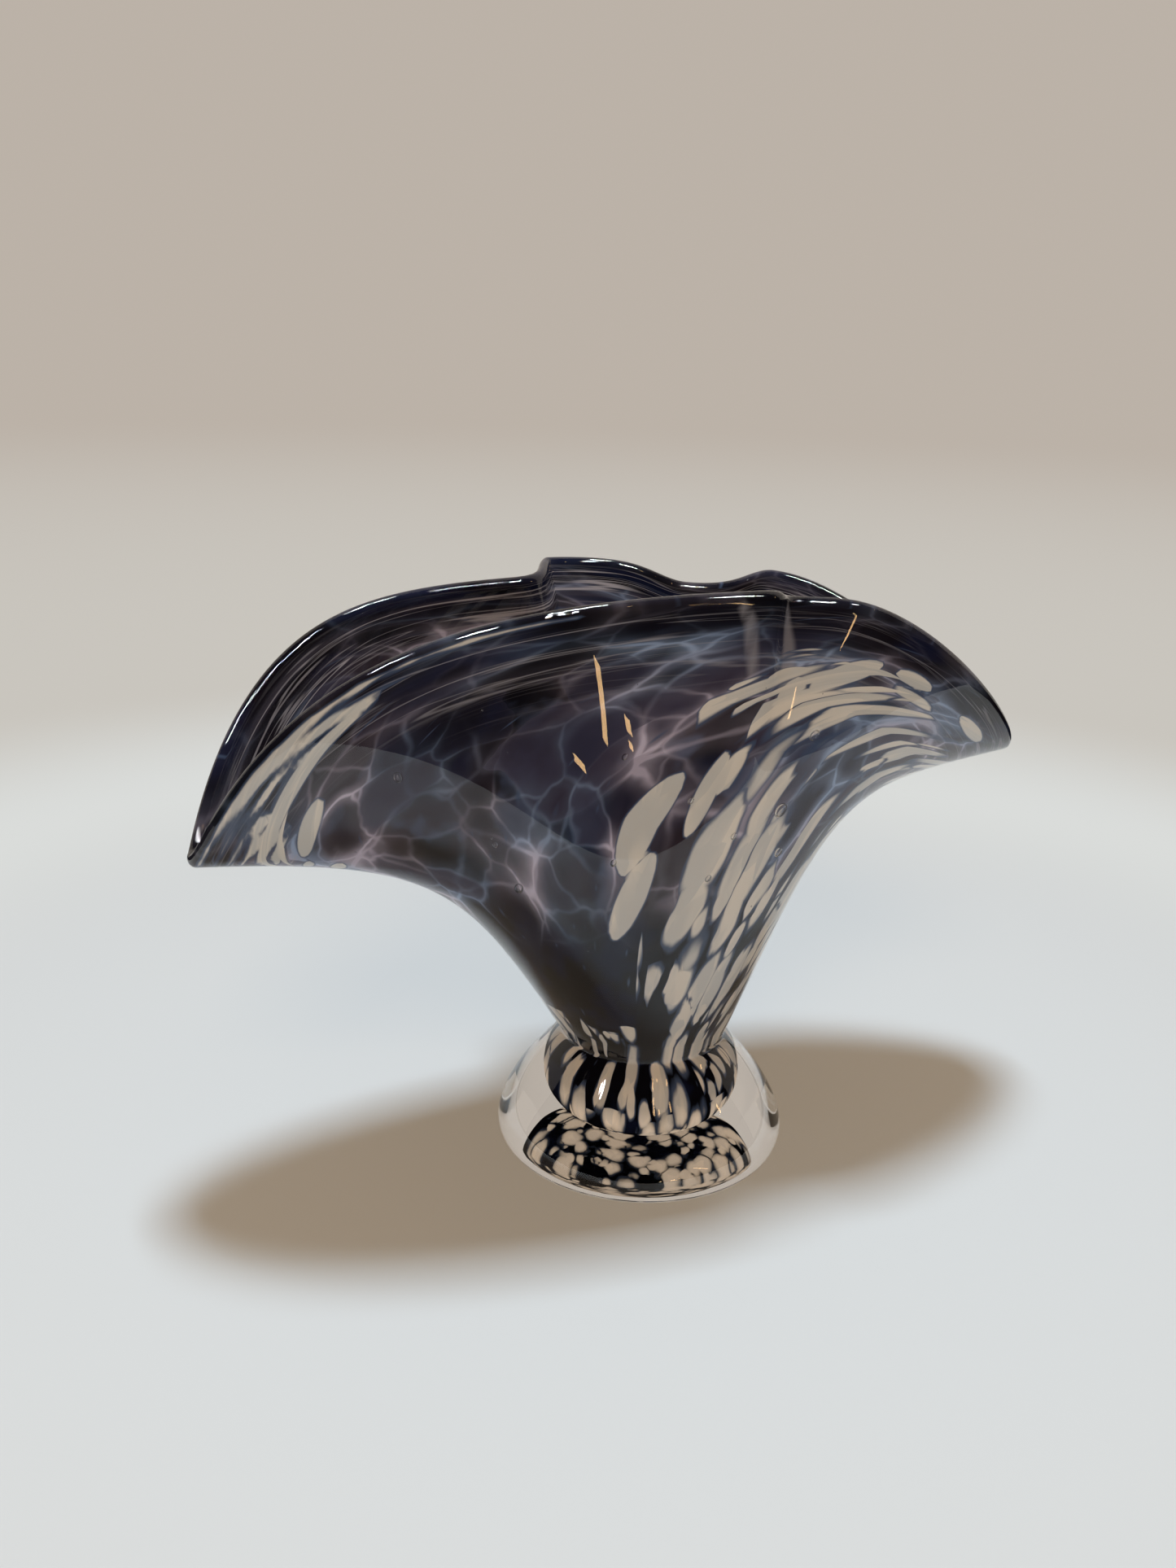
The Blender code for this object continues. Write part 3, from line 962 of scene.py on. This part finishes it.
def dark_glass(finish, place, web_share):
    """Dark glass, cobalt in places, and violet or lit from behind where the web is."""
    cobalt = finish.patches(place, COBALT_PATCHES) * COBALT_TINT
    colour = finish.mix(cobalt, DARK_GLASS, COBALT_GLASS)
    for patches, tint in ((VIOLET_PATCHES, VIOLET_GLASS), (BLUE_PATCHES, BLUE_GLOW)):
        tinted = finish.patches(place, patches) * web_share * WEB_TINT
        colour = finish.mix(tinted, colour, tint)
    return colour


def webs_of_veins(finish, colour, place, web_share):
    """Veins between tinted cells: a thin line in a faint glow, brightest where veins meet."""
    vein_colour = finish.mix(finish.patches(place, BLUE_VEIN_PATCHES), VEIN_COLOUR, VEIN_BLUE)
    for web in WEBS:
        shape = place
        for scale, amount in WEB_WOBBLES:
            shape = finish.wobble(shape, scale, amount, web.seed)
        cell = finish.cells(shape, web.scale)
        edge = finish.edge_distance(shape, web.scale)
        meeting = finish.step(cell.outputs["Distance"], *VEINS_MEET)
        own = finish.own_number(cell)
        for low, high, tint in CELL_TINTS:
            tinted = finish.step(own, low, high) * web_share * CELL_TINT * web.strength
            colour = finish.mix(tinted, colour, tint)
        line, glow = (
            finish.step(edge, vein.reach, 0.0) * (meeting * vein.meeting + vein.plain)
            for vein in (VEIN_LINE, VEIN_GLOW))
        fading = finish.patches(place, web.fading) * (1 - FAINTEST_VEIN) + FAINTEST_VEIN
        colour = finish.mix(
            (line + glow) * fading * web_share * web.strength, colour, vein_colour)
    return colour


def rim_threads(finish, colour, gather, lip_share):
    """Threads and folds of pale glass that run with the rim, and the creases that cross them."""

    def along_rim(threads):
        place = finish.scaled(gather, (threads.around, threads.around, threads.across))
        return finish.number(finish.noise(place, 1.0, THREAD_DETAIL, threads.seed).outputs["Fac"])

    gaps, folds = (
        finish.step(along_rim(threads), threads.low, threads.high) * threads.strength
        for threads in (THREAD_GAPS, THREAD_FOLDS))
    shown = gaps * lip_share
    colour = finish.mix(folds * shown, colour, LIP_GLOW)
    for threads in THREAD_LINES:
        ridge = (along_rim(threads) - 0.5).maths("ABSOLUTE")
        line = finish.step(ridge, threads.low, threads.high)
        colour = finish.mix(line * shown * threads.strength, colour, LIP_LINE)
    crease = finish.step(finish.varying("creases"), *CREASE_EDGE) * CREASE_STRENGTH
    return finish.mix(crease, colour, LIP_LINE)


def cream_specks(finish, gather, speck_share):
    """How far inside a speck each place is, and its tint. Where specks are many they join."""
    waver = finish.number(finish.noise(gather, SPECK_WAVER).outputs["Fac"]) - 0.5
    inside = finish.varying("streaks") * STREAK_SCALE + waver * STREAK_WAVER
    tint = CREAM_START
    for strewing in STREWINGS:
        shape = finish.wobble(gather, *SPECK_WOBBLE, strewing.seed)
        near = finish.cells(shape, strewing.scale)
        own = finish.own_number(near)
        kept = finish.step(speck_share * strewing.thinned - own, 0.0, SPECK_KEPT)
        grown = kept * (own * SPECK_GROWTH + strewing.size)
        grown = grown - finish.number(near.outputs["Distance"])
        apart = finish.edge_distance(shape, strewing.scale) * SPECK_APART - SPECK_GAP
        inside = inside.maths("MAXIMUM", apart.maths("MINIMUM", grown))
        tint = (own + tint) * 0.5
    return inside, tint + waver * CREAM_WAVER


def speckled_layer():
    """Dark glass with a web of pale veins, and cream specks that ran with the glass."""
    finish = Finish(bpy.data.materials.new("speckled_layer"))
    gather = finish.varying_place("gather")
    web_place = finish.scaled(finish.varying_place("web_place"), WEB_SQUASH)
    web_share = finish.varying("web")
    colour = dark_glass(finish, web_place, web_share)
    colour = webs_of_veins(finish, colour, web_place, web_share)
    colour = rim_threads(finish, colour, gather, finish.varying("lip"))
    inside, tint = cream_specks(finish, gather, finish.varying("specks"))
    halo = finish.step(inside, *SPECK_HALO) * SPECK_HALO_TINT
    colour = finish.mix(halo, colour, SPECK_EDGE)
    cream = finish.mix(finish.step(tint, *CREAM_RANGE), CREAM, CREAM_GREY)
    colour = finish.mix(finish.step(inside, *SPECK_RIM), colour, cream)
    # Painted glow: the specks under the cup emit light, standing in for light that the foot gathers
    painted_glow = finish.step(inside, *SPECK_PAINTED_GLOW) * finish.varying("underside_painted_glow")
    glass = finish.node("ShaderNodeBsdfPrincipled", None, {
        "Base Color": colour, "Roughness": 0.5, "Specular IOR Level": 0.0,
        "Emission Color": finish.mix(painted_glow, (0, 0, 0, 1), UNDERSIDE_PAINTED_GLOW), "Emission Strength": 1.0})
    return finish.output(glass.outputs[0])


# Studio


def pale_floor():
    """A pale cloth that passes into the tone of the wall further out."""
    finish = Finish(bpy.data.materials.new("pale_floor"))
    place = finish.node("ShaderNodeTexCoord").outputs["Object"]
    away = finish.node("ShaderNodeVectorMath", {"operation": "LENGTH"}, {0: place})
    away = away.outputs["Value"]
    tone = finish.mix(finish.step(away, HORIZON, WALL_START), HORIZON_TONE, WALL_LOW_TONE)
    tone = finish.mix(finish.step(away, WALL_START, WALL_EVEN), tone, WALL_TONE)
    cloth = finish.node("ShaderNodeBsdfPrincipled", None, {
        "Base Color": FLOOR_NEAR, "Roughness": 0.9, "Specular IOR Level": 0.1})
    wall = finish.node("ShaderNodeEmission", None, {"Color": tone})
    surface = finish.node("ShaderNodeMixShader", None, {
        0: finish.step(away, CLOTH_END, HORIZON), 1: cloth.outputs[0], 2: wall.outputs[0]})
    return finish.output(surface.outputs[0])


def studio_world():
    """The pale wall all round, as the camera and the glass see it, and a softer fill light."""
    finish = Finish(bpy.data.worlds.new("studio"))
    path = finish.node("ShaderNodeLightPath")
    seen = finish.number(path.outputs["Is Camera Ray"])
    seen = seen + finish.number(path.outputs["Is Glossy Ray"])
    seen = seen + finish.number(path.outputs["Is Transmission Ray"])
    colour = finish.mix(seen.maths("MINIMUM", 1.0), FILL_TONE, WALL_TONE)
    light = finish.node("ShaderNodeBackground", None, {"Color": colour})
    return finish.output(light.outputs[0], "ShaderNodeOutputWorld")


def disc(name, radius, height, material):
    angles = np.linspace(0, 2 * math.pi, FLOOR_SIDES, endpoint=False)
    points = circle(angles, radius, height)
    mesh = bpy.data.meshes.new(name)
    mesh.from_pydata(points.tolist(), [], [list(range(len(points)))])
    return add_object(name, mesh, material)


def dark_room():
    """The unlit room round the table and above it, which only reflections see."""
    finish = Finish(bpy.data.materials.new("dark_room"))
    surface = finish.node("ShaderNodeEmission", None, {"Color": ROOM_DARK})
    far = ROOM_REACH
    table = ((TABLE_LEFT, TABLE_BACK), (TABLE_LEFT, TABLE_FRONT), (TABLE_RIGHT, TABLE_FRONT),
             (TABLE_RIGHT, TABLE_BACK))
    room = ((-far, TABLE_BACK), (-far, -far), (far, -far), (far, TABLE_BACK))
    forward, right = camera_axes()
    points = [right * side + forward * along + Vector((0, 0, height))
              for ring, height in ((table, 0.0), (room, 0.0), (room, ROOM_HEIGHT))
              for side, along in ring]
    # The floor round the table's left, front and right, the walls above it, and the ceiling
    corners = len(table)
    faces = [(low + k, low + k + 1, low + k + 1 + corners, low + k + corners)
             for low in (0, corners) for k in range(corners - 1)]
    faces.append(tuple(range(2 * corners, 3 * corners)))
    mesh = bpy.data.meshes.new("dark_room")
    mesh.from_pydata(points, [], faces)
    return seen_in_reflections_only(add_object("dark_room", mesh, finish.output(surface.outputs[0])))


def seen_in_reflections_only(item):
    item.visible_camera = False
    item.visible_diffuse = False
    item.visible_transmission = False
    item.visible_shadow = False
    return item


def ceiling_lamps():
    """Where each ceiling lamp starts and ends, and its width."""
    width, length = CEILING_LAMP_SIZE
    for turn, rise in CEILING_LAMPS:
        turn, rise = math.radians(turn), math.radians(rise)
        outward = Vector((math.sin(turn), -math.cos(turn), 0))
        beside = Vector((math.cos(turn), math.sin(turn), 0))
        upward = Vector((0, 0, 1))
        place = CEILING_LAMP_AWAY * (outward * math.cos(rise) + upward * math.sin(rise))
        half = length / 2 * (upward * math.cos(rise) - outward * math.sin(rise))
        for step in (-1, 0, 1):
            middle = place + beside * CEILING_LAMP_GAP * step
            yield middle - half, middle + half, width


def lamp_glows(name, glows, colour, strength):
    """Bare lamps of the room, as thin strips that only reflections see."""
    finish = Finish(bpy.data.materials.new(name))
    surface = finish.node("ShaderNodeEmission", None, {"Color": colour, "Strength": strength})
    points, faces = [], []
    for start, end, width in glows:
        start, end = Vector(start), Vector(end)
        side = (end - start).cross(Vector(VASE_MIDDLE) - start).normalized() * width / 2
        faces.append([len(points) + k for k in range(4)])
        points += [start - side, start + side, end + side, end - side]
    mesh = bpy.data.meshes.new(name)
    mesh.from_pydata(points, [], faces)
    seen_in_reflections_only(add_object(name, mesh, finish.output(surface.outputs[0])))


def add_lamp(name, lamp):
    """A soft lamp that points at the vase, and that reflections don't see."""
    light = bpy.data.lights.new(name, "AREA")
    light.shape = "RECTANGLE"
    light.size, light.size_y = lamp.size
    light.energy = lamp.power
    light.color = lamp.colour
    item = bpy.data.objects.new(name, light)
    item.location = lamp.place
    aim = Vector(VASE_MIDDLE) - Vector(lamp.place)
    item.rotation_euler = aim.to_track_quat("-Z", "Y").to_euler()
    item.visible_glossy = False
    bpy.context.scene.collection.objects.link(item)


# Camera


def camera_axes():
    """Level directions, away from the camera and to its right."""
    forward = Vector((-math.sin(CAMERA_TURN), math.cos(CAMERA_TURN), 0))
    return forward, Vector((math.cos(CAMERA_TURN), math.sin(CAMERA_TURN), 0))


def add_camera():
    forward, right = camera_axes()
    place = right * CAMERA_SIDE - forward * CAMERA_BACK + Vector((0, 0, CAMERA_HEIGHT))
    looking = forward * math.cos(CAMERA_PITCH) - Vector((0, 0, math.sin(CAMERA_PITCH)))
    up = forward * math.sin(CAMERA_PITCH) + Vector((0, 0, math.cos(CAMERA_PITCH)))
    rolled_right = right * math.cos(CAMERA_ROLL) - up * math.sin(CAMERA_ROLL)
    rolled_up = right * math.sin(CAMERA_ROLL) + up * math.cos(CAMERA_ROLL)
    data = bpy.data.cameras.new("camera")
    data.sensor_fit = "VERTICAL"
    data.sensor_height = SENSOR
    data.lens = SENSOR * FOCAL_PIXELS / FRAME_PIXELS
    camera = bpy.data.objects.new("camera", data)
    axes = Matrix((rolled_right, rolled_up, -looking)).transposed().to_4x4()
    camera.matrix_world = Matrix.Translation(place) @ axes
    bpy.context.scene.collection.objects.link(camera)
    bpy.context.scene.camera = camera


# Values that the coloured layer holds for each of its points


def set_attribute(mesh, name, values):
    """Gives a value to each point of the rings, and their means to the two poles."""
    kind, field = ("FLOAT_VECTOR", "vector") if values.ndim == 3 else ("FLOAT", "value")
    poles = [values[0].mean(0), values[-1].mean(0)]
    data = np.concatenate([values.reshape(-1, *values.shape[2:]), poles]).astype(np.float32)
    mesh.attributes.new(name, kind, "POINT").data.foreach_set(field, data.ravel())


def signed_degrees(angles):
    """The angles as one row, from -180 to 180 degrees."""
    return (np.degrees(angles)[None, :] + 180) % 360 - 180


def speck_share(angles, shares, below):
    """How thickly the specks lie: on the foot, up the right side, and along the left lip."""
    degrees = signed_degrees(angles)
    turned = degrees - BAND_TWIST * np.clip(shares, 0, 1)
    band = smooth_step(*BAND_LEFT, turned) * smooth_step(*BAND_RIGHT, turned)
    band = band * smooth_step(*BAND_TOP, shares)
    from_end = np.abs((degrees + 360) % 360 - LIP_PATCH_MIDDLE)
    start, full = (share + from_end / LIP_PATCH_CLIMB for share in LIP_PATCH_START)
    patch = smooth_step(*LIP_PATCH_REACH, from_end) * smooth_step(start, full, shares)
    patch = patch * smooth_step(*LIP_PATCH_TOP, shares)
    foot = FOOT_SPECKS * smooth_step(*FOOT_SPECKS_TOP, shares) + UNDERSIDE_SPECKS * below
    return np.maximum(np.maximum(BAND_SPECKS * band, LIP_PATCH_SPECKS * patch), foot)


def below_cup(shares, points):
    """The underside of the cup, 1, which gets more specks and a painted glow that stands in for light
    that the foot gathers.
    """
    heights = np.array(points)[..., 2]
    return smooth_step(*UNDERSIDE_HEIGHTS, heights) * (shares < 0)


def web_share(angles, shares):
    """How clearly the veins show: most on the upper wall, none low down or in one dark place."""
    low = smooth_step(*WEB_START, shares)
    near_lip = smooth_step(*WEB_END, shares)
    (angle, share), (wide, tall) = DARK_PLACE
    away = ((signed_degrees(angles) - angle) / wide) ** 2 + ((shares - share) / tall) ** 2
    shown = low * (WEB_AT_LIP + (1 - WEB_AT_LIP) * near_lip)
    return shown * (1 - DARK_PLACE_DEPTH * np.exp(-away))


def lip_share(angles, shares):
    """How clearly the pale threads along the rim show: in front they keep close to it."""
    front = np.clip(-FRONT_SHARPNESS * np.sin(angles), 0, 1)
    start = THREADS_START + (THREADS_START_IN_FRONT - THREADS_START) * front
    shown = smooth_step(start, start + THREADS_FADE_IN, shares) * smooth_step(*THREADS_END, shares)
    return shown * (1 - THREADS_LOST_IN_FRONT * front)


def main():
    bpy.context.scene.view_settings.view_transform = "Standard"
    angles = column_angles()
    casing = add_object(
        "vase_glass", lofted_mesh("vase_glass", casing_rows(angles), (0, 0, SKIN_INSET),
                                  (0, 0, CUP_FLOOR_HEIGHT - SKIN_INSET)), clear_casing())
    points, shares, places = layer_rows(angles)
    deep = CUP_FLOOR_HEIGHT - LINING
    layer = add_object(
        "colour_layer", lofted_mesh("colour_layer", points, (0, 0, deep - LAYER), (0, 0, deep)),
        speckled_layer())
    below = below_cup(shares, points)
    for name, values in (
            ("gather", places[0]),
            ("web_place", places[1]),
            ("specks", speck_share(angles, shares, below)),
            # A painted glow for the specks under the cup
            ("underside_painted_glow", below),
            ("streaks", streak_depth(angles, points, STREAKS)),
            ("creases", streak_depth(angles, points, CREASES)),
            ("web", web_share(angles, shares)),
            ("lip", lip_share(angles, shares))):
        set_attribute(layer.data, name, values)
    bubbles = air_bubbles()
    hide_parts("vase")
    for piece, slot in ((casing, "clear_glass"), (layer, "coloured_glass"), (bubbles, "clear_glass")):
        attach(piece, "root")

    floor = disc("floor", FLOOR_REACH, -FLOOR_DROP, pale_floor())
    dark_room()
    bpy.context.scene.world = studio_world()
    add_lamp("soft_box", SOFT_BOX)
    add_lamp("front_fill", FRONT_FILL)
    lamp_glows("warm_lamps", WARM_GLOWS, WARM_LIGHT, WARM_STRENGTH)
    lamp_glows("white_lamps", ceiling_lamps(), WHITE_LIGHT, WHITE_STRENGTH)
    add_camera()


main()
